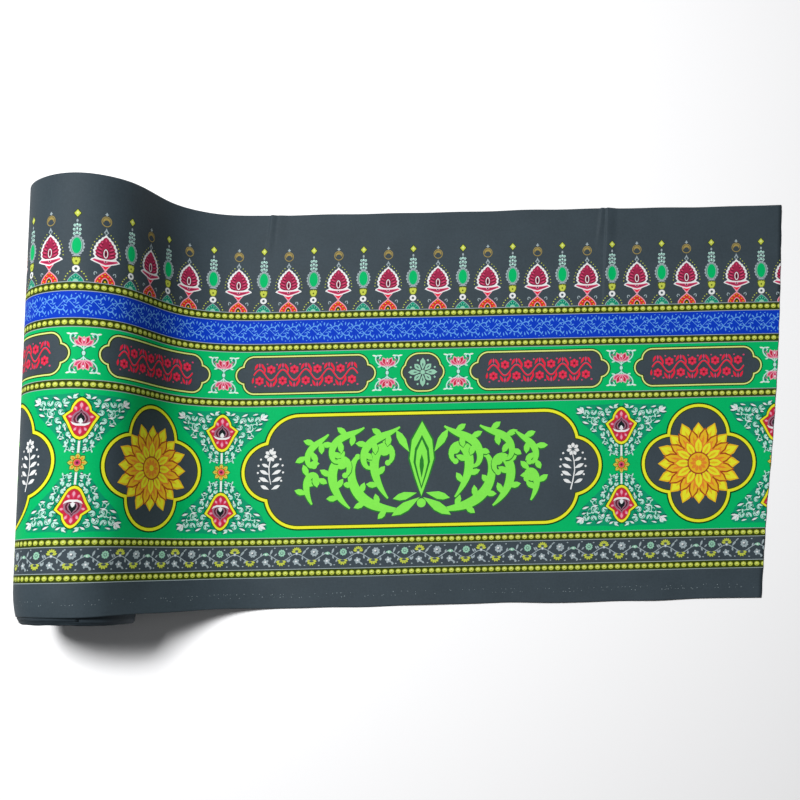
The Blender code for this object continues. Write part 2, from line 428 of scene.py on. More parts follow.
def strip(low, high):
    """The outline of a stripe that runs along the whole cloth."""
    return np.array([lap_u + low * 1j, cut_u + 0.02 + low * 1j, cut_u + 0.02 + high * 1j, lap_u + high * 1j])


def fine(outline, step=PRINT_GRID):
    """The same outline with its long edges cut up, so that it can follow the roll."""
    points = []
    for here, there in zip(outline, np.roll(outline, -1)):
        count = max(1, math.ceil(abs(there - here) / step))
        points.append(here + (there - here) * np.arange(count) / count)
    return np.concatenate(points)


def settle(low, high):
    """Cut all that was painted in one band of the cloth into triangles, and sort them by ink."""
    beyond = cut_u + WELL_OUTSIDE
    before = lap_u - WELL_OUTSIDE
    edge_v = np.linspace(low - 0.02, high + 0.02, 24)
    bottom, top = 1j * edge_v[0], 1j * edge_v[-1]
    cut = cut_at(edge_v) - CUT_MARGIN + 1j * edge_v
    painted.append((None, np.concatenate([cut, [beyond + top, beyond + bottom]])))
    begin = lap_u + LAP_MARGIN
    painted.append((None, np.array([before + bottom, begin + bottom, begin + top, before + top])))
    points, faces = [], []
    for _, outline in painted:
        around = fine(outline)
        turned = np.sum(around.real * np.roll(around.imag, -1) - np.roll(around.real, -1) * around.imag)
        around = around if turned > 0 else around[::-1]
        faces.append(list(range(len(points), len(points) + len(around))))
        points += [(p.real, p.imag) for p in around]
    coarse = [(u, v) for u in np.arange(lap_u, cut_u, PRINT_GRID) for v in np.arange(low, high, PRINT_GRID)]
    dense = [
        (u, v)
        for start, _, _, _, reach in CREASES
        for u in np.arange(start - 0.03, start + 0.03, 0.003)
        for v in np.arange(max(low, CLOTH_WIDTH - reach), high, 0.006)
    ]
    corners, _, triangles, _, _, parents = delaunay_2d_cdt(points + coarse + dense, [], faces, 0, 1e-7, True)
    corners = np.array([tuple(c) for c in corners])
    shapes = corners[np.array([list(triangle) for triangle in triangles])]
    boxes = [(o.real.min(), o.real.max(), o.imag.min(), o.imag.max()) for _, o in painted]
    for shape, (u, v), owners in zip(shapes, shapes.mean(1), parents):
        held = [o for o in owners if boxes[o][0] <= u <= boxes[o][1] and boxes[o][2] <= v <= boxes[o][3]]
        ink = painted[max(held)][0] if held else None
        if ink:
            ink_corners.setdefault(ink, []).append(shape)
    painted.clear()


# The bead lines. Each is a row of yellow beads on an olive stripe, with a thin pale line on each side.
# Five of them part the bands from each other.
BEAD_LINES = {"foot": 0.0599, "vine": 0.1150, "main": 0.3616, "small": 0.4594, "blue": 0.5163}
BEAD_PITCH = REPEAT / 84
BEAD_HALF = 0.0066
PALE_LINE = 0.0011
GROUND_GAP = 0.0009


def bead_line(middle):
    paint("silver", strip(middle - BEAD_HALF - PALE_LINE, middle + BEAD_HALF + PALE_LINE), size=1)
    paint("olive", strip(middle - BEAD_HALF, middle + BEAD_HALF), size=1)
    for u in repeats(-0.3050, BEAD_PITCH, 0.01):
        at = u + middle * 1j
        paint("brown", disc(0, 5.6, 4.6, 8), at)
        paint("bead", disc(0, 4.5, 3.7, 8), at)
        paint("cream", disc(-0.2 + 0.8j, 2.3, 1.6, 6), at)
        paint("brown", disc(0.2 - 1.6j, 1.2, 0.8, 5), at)


def ground(ink, below, above):
    """The coloured ground between two bead lines."""
    low, high = BEAD_LINES[below] + BEAD_HALF + GROUND_GAP, BEAD_LINES[above] - BEAD_HALF - GROUND_GAP
    paint(ink, strip(low, high), size=1)


# The foot margin, below the beads: bare cloth with the pin marks of the frame that it was printed on.
rng = np.random.default_rng(3)
for row in (0.0190, 0.0245):
    place = lap_u
    while place < cut_u:
        place += rng.uniform(0.002, 0.008)
        if rng.random() < 0.75:
            mark = disc(0, rng.uniform(0.3, 0.9), rng.uniform(0.3, 0.7), 5)
            ink = "silver" if rng.random() < 0.4 else "slate"
            paint(ink, mark, place + 1j * (row + rng.normal(0, 0.0006)))
bead_line(BEAD_LINES["foot"])

# The vine band: a thin grey vine that waves along bare cloth between two bead lines, with tulips and
# daisies above it and half flowers and leaves below it.
VINE_REPEAT = 0.1075
VINE_MIDDLE = 0.0890


def daisy(ink, heart, centre, size, petals=8):
    for petal in range(petals):
        direction = np.exp(2j * math.pi * (petal + 0.5) / petals)
        lay(ink, blade(centre + direction * size * 0.2, centre + direction * size, size * 0.62))
    lay(heart, disc(centre, size * 0.28, sides=7))


def lay(ink, outline):
    """Lay an outline of one ink on the motif in hand, whose middle is at motif_at."""
    paint(ink, outline, motif_at)


def discs(*rows):
    """Lay several discs, each given by its ink, centre, half width, half height and number of sides."""
    for ink, *shape in rows:
        lay(ink, disc(*shape))


wave_u = np.linspace(lap_u, cut_u + 0.01, int((cut_u + 0.01 - lap_u) / 0.003))
wave = wave_u + 1j * (VINE_MIDDLE - 0.0015 + 0.0060 * np.cos(4 * math.pi * (wave_u + 0.3003) / VINE_REPEAT))
paint("silver", stroke(wave, 0.0014), size=1)
for u in repeats(-0.3003, VINE_REPEAT):
    motif_at = u + VINE_MIDDLE * 1j
    for turn in (-78, -52, -26, 0, 26, 52, 78):
        tip = 9.0 * ray(90 + turn)
        lay("brown", blade(7j + 0.1 * tip, 7.6j + tip * 1.08, 4.6))
        lay("bead", blade(7j + 0.1 * tip, 7.6j + tip, 3.9))
    discs(("slate", 9.4j, 3.2, 1.9, 8), ("silver", 5j, 2.7, 2.6, 8), ("white", 5.2j, 1.3, 1.4, 6))
    daisy("silver", "slate", 31 + 6.4j, 7.4, 8)
    lay("white", disc(30 + 7.4j, 2.0, 1.6, 6))
    daisy("mint", "mint", 81.5 + 6.4j, 6.6, 9)
    discs(("slate", 81.5 + 6.4j, 3.0, 2.8, 9), ("mint", 81.5 + 6.6j, 2.0, 1.9, 8))
    lay("mint", blade(48 + 5j, 59 + 4.5j, 5.6))
    lay("white", disc(53.5 + 4.6j, 1.4, 1.2, 6))
    for place in (26.2, 80.3):
        for turn in (-80, -48, -16, 16, 48, 80):
            tip = 9.0 * ray(-90 + turn)
            lay("brown", blade(place - 7.4j, place - 7.6j + tip * 1.08, 5.0))
            lay("bead", blade(place - 7.4j, place - 7.6j + tip, 4.2))
        lay("slate", disc(place - 8.8j, 4.2, 1.9, 8))
    for place in (-1, 53):
        for turn in (10, 82, 154, 226, 298):
            tip = 6.2 * ray(turn + 20)
            lay("silver", blade(place - 9.0j, place - 9.0j + tip, 4.4))
        lay("white", disc(place - 8.6j, 1.8, 1.6, 6))
        lay("silver", blade(place + 3 - 11.5j, place + 9.5 - 16.4j, 3.2))
    for base, tip, width in (
        (9 + 2j, 16.5 + 11.4j, 3.6), (9.6 + 1j, 10.6 - 6.4j, 3.2), (15.5 + 11j, 19.5 + 14j, 2.4),
        (61 + 3j, 65 + 13.5j, 3.6), (63 + 2j, 64.5 - 5.6j, 3.2), (68 + 1j, 73 + 6j, 2.6),
        (-8 + 2j, -12.6 + 8j, 2.8), (-11 - 3j, -14.6 - 9.5j, 4.0), (40 - 4j, 38.4 - 10j, 4.0),
        (44 + 0j, 46.6 + 7.4j, 3.0), (20 - 4j, 15.6 - 10.6j, 3.0), (90 - 4j, 93.4 - 10j, 3.6),
        (96 + 1j, 92 + 7.5j, 2.8), (72 - 4j, 68.4 - 11j, 3.0), (36 - 5j, 40.5 - 1j, 2.4),
    ):
        lay("silver", blade(base, tip, width))
    for place in (
        20 + 14.6j, 43.8 + 14.4j, 69 + 15.4j, 89.5 + 13.4j, 14 - 15.6j, 66 - 15.6j, 39 - 16.4j, 94 - 16j,
        60 - 16.6j,
    ):
        lay("silver", disc(place, 1.6, 1.1, 6))
bead_line(BEAD_LINES["vine"])
settle(0.010, 0.1225)


def lobed(straight, raised, corner, bulge, tip, grow=0.0):
    """A cartouche's outline, right way round: corner lobes at (straight, raised), end lobes at bulge."""
    corner, tip = corner + grow, tip + grow
    centre, gap = straight + 1j * raised, straight + 1j * raised - bulge
    far = abs(gap)
    share = (tip ** 2 - corner ** 2 + far ** 2) / (2 * far)
    cusp = bulge + share * gap / far - 1j * gap / far * math.sqrt(max(tip ** 2 - share ** 2, 0))
    ends = np.linspace(0, np.angle(cusp - bulge), 12)
    rounds = np.linspace(np.angle(cusp - centre), math.pi / 2, 12)
    quarter = np.concatenate([bulge + tip * np.exp(1j * ends), centre + corner * np.exp(1j * rounds)])
    half = np.concatenate([quarter, -quarter.conj()[::-1][(1 if straight == 0 else 0):]])
    return np.concatenate([half, half.conj()[::-1][1:-1]])


def framed(at, sizes, band, ink, shade=2.6):
    """A cartouche in its frame: dark outline, coloured band, dark inner line and bare cloth within."""
    paint("pine", lobed(*sizes, grow=shade), at)
    paint(ink, lobed(*sizes), at)
    paint("olive", lobed(*sizes, grow=-band), at)
    paint(None, lobed(*sizes, grow=-band - 1.6), at)


# The main band: a green ground with ornate columns, and between them in turn a long cartouche and a
# four-lobed one. The long one holds a plain arabesque and the other a rosette, both of this
# maker's own, in the print's colours.
MAIN_MIDDLE = 0.2385
COLUMN_U = -0.3273
LONG_BAY = 0.7030
LONG_CARTOUCHE = (215.6, 40.8, 60.7, 262.5, 54.0)
ROUND_CARTOUCHE = (0, 49.6, 54.9, 47.3, 52.8)
FRAME_BAND = 5.0

ground("green", "vine", "main")


def mirrored(half):
    """A closed outline from its right half, given from the bottom up."""
    half = np.asarray(half, dtype=complex)
    return np.concatenate([half, -half.conj()[::-1]])


PALMETTE_SIDE = (
    -32.2j, 5.6 - 30.4j, 10 - 26.6j, 13.7 - 20.4j, 16.9 - 14j, 20.6 - 6.6j, 24.5 - 0.4j, 26.8 + 4j,
    19.5 + 9.6j, 15 + 12.7j, 13.7 + 18.5j, 11 + 23.5j, 7 + 28.5j, 3 + 31.2j, 32j,
)


def palmette(centre, up):
    """An upright palmette in an ogee frame, with pink petals round a dark drop."""

    def put(ink, outline):
        shape = np.asarray(outline)
        lay(ink, centre + shape.real + 1j * up * shape.imag)

    half = np.array(PALMETTE_SIDE)
    whole = np.concatenate([half, -half.conj()[-2:0:-1]])
    for ink, grow in (("pine", 2.8), ("yellow", 1.0), ("rust", -3.4), ("ruby", -4.8)):
        put(ink, whole.real * (1 + grow / 25) + 1j * whole.imag * (1 + grow / 32))
    for base, tip, width in (
        (13j, 26j, 7.5), (6 + 11j, 10 + 19.5j, 6.5), (-6 + 11j, -10 + 19.5j, 6.5),
        (11 + 2.5j, 19.5 + 3.4j, 5.6), (-11 + 2.5j, -19.5 + 3.4j, 5.6), (-12.5j, -25.5j, 7),
        (5 - 12.5j, 9.5 - 19.5j, 5.6), (-5 - 12.5j, -9.5 - 19.5j, 5.6),
    ):
        put("rose", blade(base, tip, width))
        put("pink", blade(base + 0.25 * (tip - base), tip - 0.06 * (tip - base), width * 0.62))
    put("mauve", mirrored([0.5 - 10j, 10 - 8.6j, 14 - 3j, 13 + 4j, 8.6 + 9.4j, 3.6 + 12j, 0.5 + 16.4j]))
    put("maroon", mirrored([0.5 - 8j, 8.6 - 6.8j, 11.2 - 2j, 10 + 3.4j, 6 + 7.8j, 2.4 + 10j, 0.4 + 13.6j]))
    put("mauve", mirrored([0.5 - 7j, 6.6 - 5.6j, 8.4 - 0.6j, 6.4 + 4.4j, 2.6 + 8j, 0.4 + 11j]))
    put("black", mirrored([0.5 - 6j, 4.8 - 4.6j, 6.2 - 0.4j, 4.6 + 3.8j, 1.8 + 6.6j, 0.3 + 9.6j]))
    put("white", mirrored([0.5 - 7.4j, 3.6 - 5.6j, 2.6 - 2j, 0.4 + 0.6j]))
    put("white", mirrored([0.5 - 11.4j, 6.5 - 11.4j, 12 - 9j, 15 - 4.4j, 10.6 - 6.6j, 5 - 8.2j, 0.5 - 7.4j]))


def curl(centre, radius, heading, sense=1, turns=1.25, steps=15):
    """A spiral spine that winds in round a centre, from where heading points."""
    share = np.linspace(0, 1, steps + 1)
    angle = math.radians(heading) + sense * 2 * math.pi * turns * share
    return centre + radius * (1 - 0.8 * share) * np.exp(1j * angle)


SCROLLS = (
    (24 + 97j, 6.2, 200, 1), (37 + 90j, 6.8, 215, -1), (50 + 94j, 6.0, 150, 1), (63 + 92j, 6.4, 200, -1),
    (30 + 80j, 6.0, 200, 1), (44 + 78j, 6.4, 120, -1), (56 + 80j, 5.6, 30, 1), (35 + 67j, 5.8, 210, 1),
    (47 + 66j, 5.0, 100, -1), (23 + 57j, 5.6, 220, -1), (34 + 54j, 4.8, 110, 1), (17 + 45j, 4.8, 200, 1),
    (27 + 43j, 4.2, 90, -1), (10 + 34j, 4.2, 220, -1), (20 + 32j, 4.0, 100, 1), (9 + 23j, 3.6, 200, 1),
    (16 + 22j, 3.2, 80, -1), (71 + 99j, 4.0, 180, -1), (10 + 104j, 3.6, 200, 1),
)
SPRIGS = (
    (67 + 93j, 79 + 101j, 5.4), (67 + 93j, 80 + 92.5j, 3.8), (67 + 93j, 69 + 103j, 3.6),
    (57 + 73j, 69 + 77j, 4.2), (14 + 100j, 22 + 104j, 3.8), (33 + 98j, 44 + 103j, 3.8),
    (52 + 101j, 62 + 103j, 3.0), (31 + 86j, 36 + 91j, 3.4), (23 + 66j, 27 + 72j, 3.0),
    (41 + 71j, 51 + 73j, 3.4), (29 + 48j, 36 + 49j, 3.0), (22 + 49j, 23 + 56j, 2.8),
    (13 + 37j, 16 + 41j, 3.0), (25 + 37j, 31 + 37j, 2.6), (6 + 27j, 11 + 29j, 2.6),
    (17 + 27j, 22 + 28j, 2.6), (43 + 60j, 53 + 60j, 3.0), (5 + 108j, 12 + 104j, 2.6),
    (6 + 16j, 10 + 18j, 2.4), (62 + 84j, 70 + 86j, 3.0), (38 + 82j, 42 + 86j, 2.6),
    (20 + 88j, 27 + 90j, 3.0), (29 + 60j, 31 + 64j, 2.4), (14 + 52j, 17 + 57j, 2.4),
)


def scrollwork(quarter):
    """Fine leaf scrolls in one corner of a column: pale leaves and lines over their dark teal shade."""
    side, up = quarter

    def put(ink, outline):
        shape = np.asarray(outline)
        lay(ink, side * shape.real + 1j * up * shape.imag)

    put("haze", np.array([
        3 + 15j, 12 + 18j, 21 + 22j, 30 + 33j, 38 + 45j, 49 + 56j, 62 + 68j, 72 + 78j, 77 + 88j,
        82 + 98j, 76 + 106j, 52 + 107j, 30 + 107j, 3 + 110j,
    ]))
    spines = [curl(*scroll) for scroll in SCROLLS]
    for spine in spines:
        put("teal", stroke(spine + 0.5 - 0.9j, 2.6, 1.2))
        put("teal", stroke(spine[0] + (spine - spine[0]) * -0.9, 1.6, 0.9))
    for base, tip, width in SPRIGS:
        put("teal", blade(base + 0.4 - 1.5j, tip + 0.4 - 1.7j, width + 1.2))
    for spine in spines:
        put("frost", stroke(spine[:-4], 1.5, 0.6))
        outer = np.sign((spine[1] - spine[0]).imag)
        for at, turn, long in ((0, 35, 7.6), (3, 50, 6.4), (6, 55, 5.2)):
            heading = np.angle(spine[at + 1] - spine[at]) - math.radians(turn) * outer
            put("frost", blade(spine[at], spine[at] + long * np.exp(1j * heading), 2.5))
    for base, tip, width in SPRIGS:
        put("white", blade(base, tip, width * 0.9))


for start in repeats(COLUMN_U, REPEAT, 0.4):
    for column in (start, start + LONG_BAY):
        if not lap_u - 0.1 < column < cut_u + 0.1:
            continue
        motif_at = column + MAIN_MIDDLE * 1j
        for quarter in ((1, 1), (-1, 1), (1, -1), (-1, -1)):
            scrollwork(quarter)
        lay("white", [-1.7 - 36j, 1.7 - 36j, 1.7 + 36j, -1.7 + 36j])
        palmette(69j, 1)
        palmette(-69j, -1)
        for petal in range(8):
            direction = np.exp(1j * math.pi * petal / 4)
            lay("pine", blade(3 * direction, 15.8 * direction, 9.4))
            lay("bead", blade(3 * direction, 14.8 * direction, 7.6))
            lay("orange", blade(6 * direction, 12.0 * direction, 3.6))
        lay("olive", disc(0, 7.2, sides=12))
        lay("orange", disc(0, 6.2, sides=12))
        lay("rose", disc(0, 4.8, sides=10))
        lay("maroon", disc(0, 2.3, sides=7))


def lime_arabesque(side):
    """One half of the long cartouche's ornament: brushed scrolls and leaves that grow from the middle."""
    brushes = (
        (tendril(side * 34 - 50j, 90 - side * 88, 140, side * 26, side * 120, 26), 3, 5, 12),
        (tendril(side * 60 - 34j, 90 - side * 48, 120, side * 60, side * 250, 26), 2, 4, 11),
        (tendril(side * 128 - 46j, 90 - side * 60, 118, side * 70, side * 250, 26), 2, 4, 11),
        (tendril(side * 40 + 60j, 90 - side * 118, 104, side * 58, -side * 230, 26), 2, 3, 10),
        (tendril(side * 104 + 60j, 90 - side * 116, 92, side * 60, -side * 240, 24), 2, 3, 9),
        (tendril(side * 168 + 52j, 90 - side * 126, 70, side * 46, -side * 220, 22), 2, 3, 8),
        (tendril(side * 196 - 40j, 90 - side * 40, 64, side * 60, side * 200, 20), 2, 3, 8),
    )
    for spine, start, end, middle in brushes:
        spine = 0.98 * spine.real + 1.34j * (spine.imag - 4)
        start, end, middle = 1.4 * start, 1.4 * end, 1.45 * middle
        lay("leaf", stroke(spine - 1.0j, start + 2.2, end + 2.2, middle + 2.6))
        for at, turn, long in ((5, 58, 24), (8, -56, 24), (12, 60, 26), (15, -58, 24), (18, 58, 20)):
            heading = np.angle(spine[at + 1] - spine[at]) + math.radians(turn)
            tip = spine[at] + long * np.exp(1j * heading)
            lay("leaf", blade(spine[at] - 1.0j, tip - 1.2j, 13.4))
            lay("lime", blade(spine[at], tip, 11.0))
        lay("lime", stroke(spine, start, end, middle))
        lay("lime", disc(spine[-1], 5.2, sides=10))


def white_spray(centre, side):
    """A white sprig near a cartouche's end: a stem with paired leaves, buds and a small flower."""
    stem = np.array([-4 - 42j, 0 - 26j, 3 - 8j, 2 + 8j, -1 + 22j])
    lay("white", stroke(centre + side * stem, 2.4, 1.4))
    for height, reach, width in ((-32, 19, 6.4), (-19, 22, 7.0), (-6, 21, 6.6), (7, 17, 5.8)):
        for turn in (26, 154):
            tip = reach * ray(turn)
            lay("white", blade(centre + 1j * height + tip / 8, centre + 1j * height + tip, width))
            lay("white", disc(centre + 1j * (height + 7) + 1.12 * tip, 1.9, sides=8))
    for petal in range(7):
        tip = 11.5 * ray(90 + 51.43 * petal)
        lay("white", blade(centre + 29j + tip / 5, centre + 29j + tip, 6.4))
    lay("slate", disc(centre + 29j, 2.4, sides=8))


for start in repeats(COLUMN_U, REPEAT, 0.9):
    motif_at = start + LONG_BAY / 2 + MAIN_MIDDLE * 1j
    if motif_at.real + 0.33 > lap_u and motif_at.real - 0.33 < cut_u:
        framed(motif_at, LONG_CARTOUCHE, FRAME_BAND, "yellow")
        for side in (1, -1):
            lime_arabesque(side)
            white_spray(side * 266, side)
        for ink, base, tip, width in (
            ("leaf", -52j, 87j, 50), ("lime", -48j, 84j, 44), ("leaf", -36j, 60j, 30),
            ("lime", -30j, 52j, 22), ("leaf", -16j, 26j, 8),
        ):
            lay(ink, blade(base, tip, width))
        for side in (1, -1):
            for base, tip, width in (
                (side * 3 - 50j, side * 52 - 82j, 17), (side * 8 - 42j, side * 50 - 52j, 14),
                (side * 22 + 30j, side * 46 + 70j, 14),
            ):
                lay("leaf", blade(base - 1j, tip - 1j, width + 2.6))
                lay("lime", blade(base, tip, width))
        lay("lime", disc(-60j, 8, 8, 14))

    motif_at = start + (LONG_BAY + REPEAT) / 2 + MAIN_MIDDLE * 1j
    if not lap_u < motif_at.real + 0.11 < cut_u + 0.22:
        continue
    framed(motif_at, ROUND_CARTOUCHE, FRAME_BAND, "yellow")
    for rings, reach, width, base, inks in (
        (16, 72, 22, 26, ("gold", "yellow", "gold")), (16, 60, 19, 20, ("rust", "gold", "orange")),
        (12, 44, 18, 12, ("orange", "yellow", "gold")),
    ):
        for petal in range(rings):
            direction = np.exp(2j * math.pi * (petal + (0.5 if reach == 60 else 0)) / rings)
            reach_here = reach * (1 + (0.06 if petal % 2 else 0))
            lay(inks[0], blade(base * direction, reach_here * direction, width))
            lay(inks[1], blade(base * direction, (reach_here - 3) * direction, width * 0.72))
            lay(inks[2], blade((base + 4) * direction, reach_here * 0.8 * direction, width * 0.22))
    lay("rust", disc(0, 20, sides=22))
    lay("gold", disc(0, 17.6, sides=22))
    for petal in range(10):
        direction = np.exp(2j * math.pi * petal / 10)
        lay("orange", blade(3 * direction, 15.5 * direction, 6))
    lay("yellow", disc(0, 5, sides=12))
bead_line(BEAD_LINES["main"])
settle(0.1225, 0.3695)

# The small band: green again, with a vine in two reds in each low cartouche, a small roundel with a pale
# flower, and a pair of lotus blossoms on a short stem between them.
SMALL_MIDDLE = 0.4105
LOTUS_FROM_MIDDLE = 0.0630
LOW_CARTOUCHE = (91, 14.5, 20, 107.3, 16.7)
ROUNDEL = (7, 9.5, 25.5, 21, 17.5)
ground("green", "main", "small")


def lotus_pair():
    """Two lotus blossoms, one up and one down, each between a pair of curled arms, on a thin waist."""

    def put(ink, outline):
        shape = np.asarray(outline)
        lay(ink, side * shape.real + 1j * up * shape.imag)

    for up, side in ((1, 1), (1, -1), (-1, 1), (-1, -1)):
        arm = np.array([
            1 + 7j, 4 + 10j, 9 + 12j, 14.5 + 14.5j, 18.4 + 18.5j, 20.4 + 23j, 20.6 + 27.4j, 18.6 + 30.6j,
            15.4 + 31j, 13.6 + 29j,
        ])
        put("haze", stroke(arm * 0.93 - 0.8j, 2.6, 4.4))
        put("teal", stroke(arm * 0.88 - 0.6j, 1.2, 1.8))
        put("frost", stroke(arm, 1.8, 2.6))
        put("white", blade(17.4 + 29.6j, 27 + 31.6j, 3.0))
        put("white", blade(15.5 + 31.4j, 9 + 30.6j, 2.6))
        put("frost", blade(9.5 + 12.4j, 17.4 + 10j, 2.8))
        put("frost", blade(15 + 24j, 11.6 + 29j, 2.6))
        put("mauve", blade(11 + 21j, 18.6 + 24.5j, 2.8))
        put("frost", [1.5j, 1.1 + 1.5j, 1.0 + 12j, 12j])
        put("pink", blade(1 + 11j, 15 + 20.5j, 9.4))
        put("rose", blade(3 + 12.5j, 13 + 19.6j, 5.6))
        put("pink", blade(0.5 + 11j, 8.4 + 27.6j, 9.6))
        put("ruby", blade(1.4 + 13j, 7.6 + 25.4j, 6.2))
    for up, side in ((1, 1), (-1, 1)):
        put("pink", blade(10.5j, 27j, 8.4))
        put("rose", blade(13j, 24.6j, 4.8))
        put("white", disc(21j, 1.3, 2.2, 7))
    discs(("teal", 0, 4.0, 4.8, 10), ("frost", 0, 2.8, 3.8, 10))


def scarlet_vine(reach):
    """A vine in two reds along a low cartouche, with a flower in every bend and leaves between."""
    bends = round(reach / 10.5)
    pitch = 2 * reach / bends
    along = np.linspace(-reach, reach, 12 * bends)
    rise = 9.5 * np.sin(math.pi * along / pitch + bends / 2 * math.pi)
    lay("mauve", stroke(along + 1j * (rise + 1.3), 1.6))
    lay("scarlet", stroke(along + 1j * rise, 2.4))
    for bend in range(bends):
        centre = pitch * (bend + 0.5) - reach
        up = 1 if math.sin(math.pi * centre / pitch + bends / 2 * math.pi) < 0 else -1
        flower = centre + 10j * up
        for petal in range(6):
            tip = 8.2 * ray(90 * up + 60 * petal)
            lay("scarlet", blade(flower + tip / 6, flower + tip, 6.4))
            lay("rose", blade(flower + tip / 2.6, flower + tip * 0.86, 2.4))
        lay("maroon", disc(flower, 2.0, sides=7))
        for base, tip, width in (
            (-9 - 9j, -3 - 21j, 4.6), (9 - 9j, 3 - 21j, 4.6), (0 - 12j, 0 - 22j, 3.6),
            (-11 + 3j, -12 + 15j, 4.0),
        ):
            ink = "rose" if base.real == 0 else "scarlet"
            base, tip = (centre + end.real + 1j * up * end.imag for end in (base, tip))
            lay(ink, blade(base, tip, width))
        discs(("rose", centre + 10 + up * 19j, 1.9, 1.7, 7), ("rose", centre - 7 + up * 20j, 1.6, 1.4, 7))


for start in repeats(COLUMN_U, REPEAT, 0.9):
    middle = start + LONG_BAY / 2
    for place in (start, start + LONG_BAY, middle - LOTUS_FROM_MIDDLE, middle + LOTUS_FROM_MIDDLE):
        if lap_u - 0.03 < place < cut_u + 0.03:
            motif_at = place + SMALL_MIDDLE * 1j
            lotus_pair()
    for place, shorter in ((middle - 0.207, 0), (middle + 0.207, 0), (start + (LONG_BAY + REPEAT) / 2, 11)):
        if lap_u - 0.13 < place < cut_u + 0.13:
            motif_at = place + SMALL_MIDDLE * 1j
            straight, raised, corner, bulge, tip = LOW_CARTOUCHE
            low_sizes = (straight - shorter, raised, corner, bulge - shorter, tip)
            framed(motif_at, low_sizes, 2.5, "cream", 1.8)
            scarlet_vine(92 - shorter)
    if lap_u - 0.05 < middle < cut_u + 0.05:
        motif_at = middle + SMALL_MIDDLE * 1j
        framed(motif_at, ROUNDEL, 2.4, "cream", 1.8)
        for petal in range(8):
            direction = np.exp(1j * math.pi * petal / 4)
            lay("mint", blade(4 * direction, (26 if petal % 2 == 0 else 21) * direction, 10))
            lay("slate", blade(9 * direction, 17 * direction, 2.2))
            lay("mint", disc(23 * direction * np.exp(1j * math.pi / 8), 1.9, sides=7))
        lay("mint", disc(0, 4.2, sides=9))
bead_line(BEAD_LINES["small"])
settle(0.3695, 0.4672)

# The blue band: a deep blue stripe with a pale running tendril of leaves and buds.
BLUE_MIDDLE = 0.4880
BLUE_REPEAT = REPEAT / 26
ground("blue", "small", "blue")
wave = wave_u + 1j * (BLUE_MIDDLE + 0.0065 * np.sin(2 * math.pi * wave_u / BLUE_REPEAT))
paint("sky", stroke(wave, 0.0010), size=1)
for u in repeats(0, BLUE_REPEAT, 0.02):
    motif_at = u + BLUE_MIDDLE * 1j
    for up, at in ((1, 18.5), (-1, 0)):
        branch = tendril(at - 9 + 1j, 62, 27, -66, -240, 14)
        lay("sky", stroke(branch.real + 1j * up * branch.imag, 1.2, 0.9, 1.8))
        for base, tip in (
            (at - 5 + 6j, at - 11 + 13j), (at + 3 + 6j, at + 9 + 13j), (at + 1 - 7j, at + 6 - 15j),
            (at - 6 - 8j, at - 10 - 15j), (at - 2 + 9j, at - 1 + 16j), (at + 5 + 0j, at + 11 + 3j),
            (at - 2 - 9j, at - 1 - 16j), (at - 10 + 2j, at - 15 + 7j),
        ):
            lay("sky", blade(base.real + 1j * up * base.imag, tip.real + 1j * up * tip.imag, 2.4))
        discs(("sky", at + 5 + up * 16.6j, 1.2, 0.9, 6), ("sky", at - 6 - up * 16.6j, 1.2, 0.9, 6))
bead_line(BEAD_LINES["blue"])
settle(0.4672, 0.5242)

# The spires. Red and green flower spires stand in turn on the last bead line, on bare cloth.
SPIRE_FOOT = 0.5238
SPIRE_PITCH = REPEAT / 11
RED_SPIRE_U = -0.3050


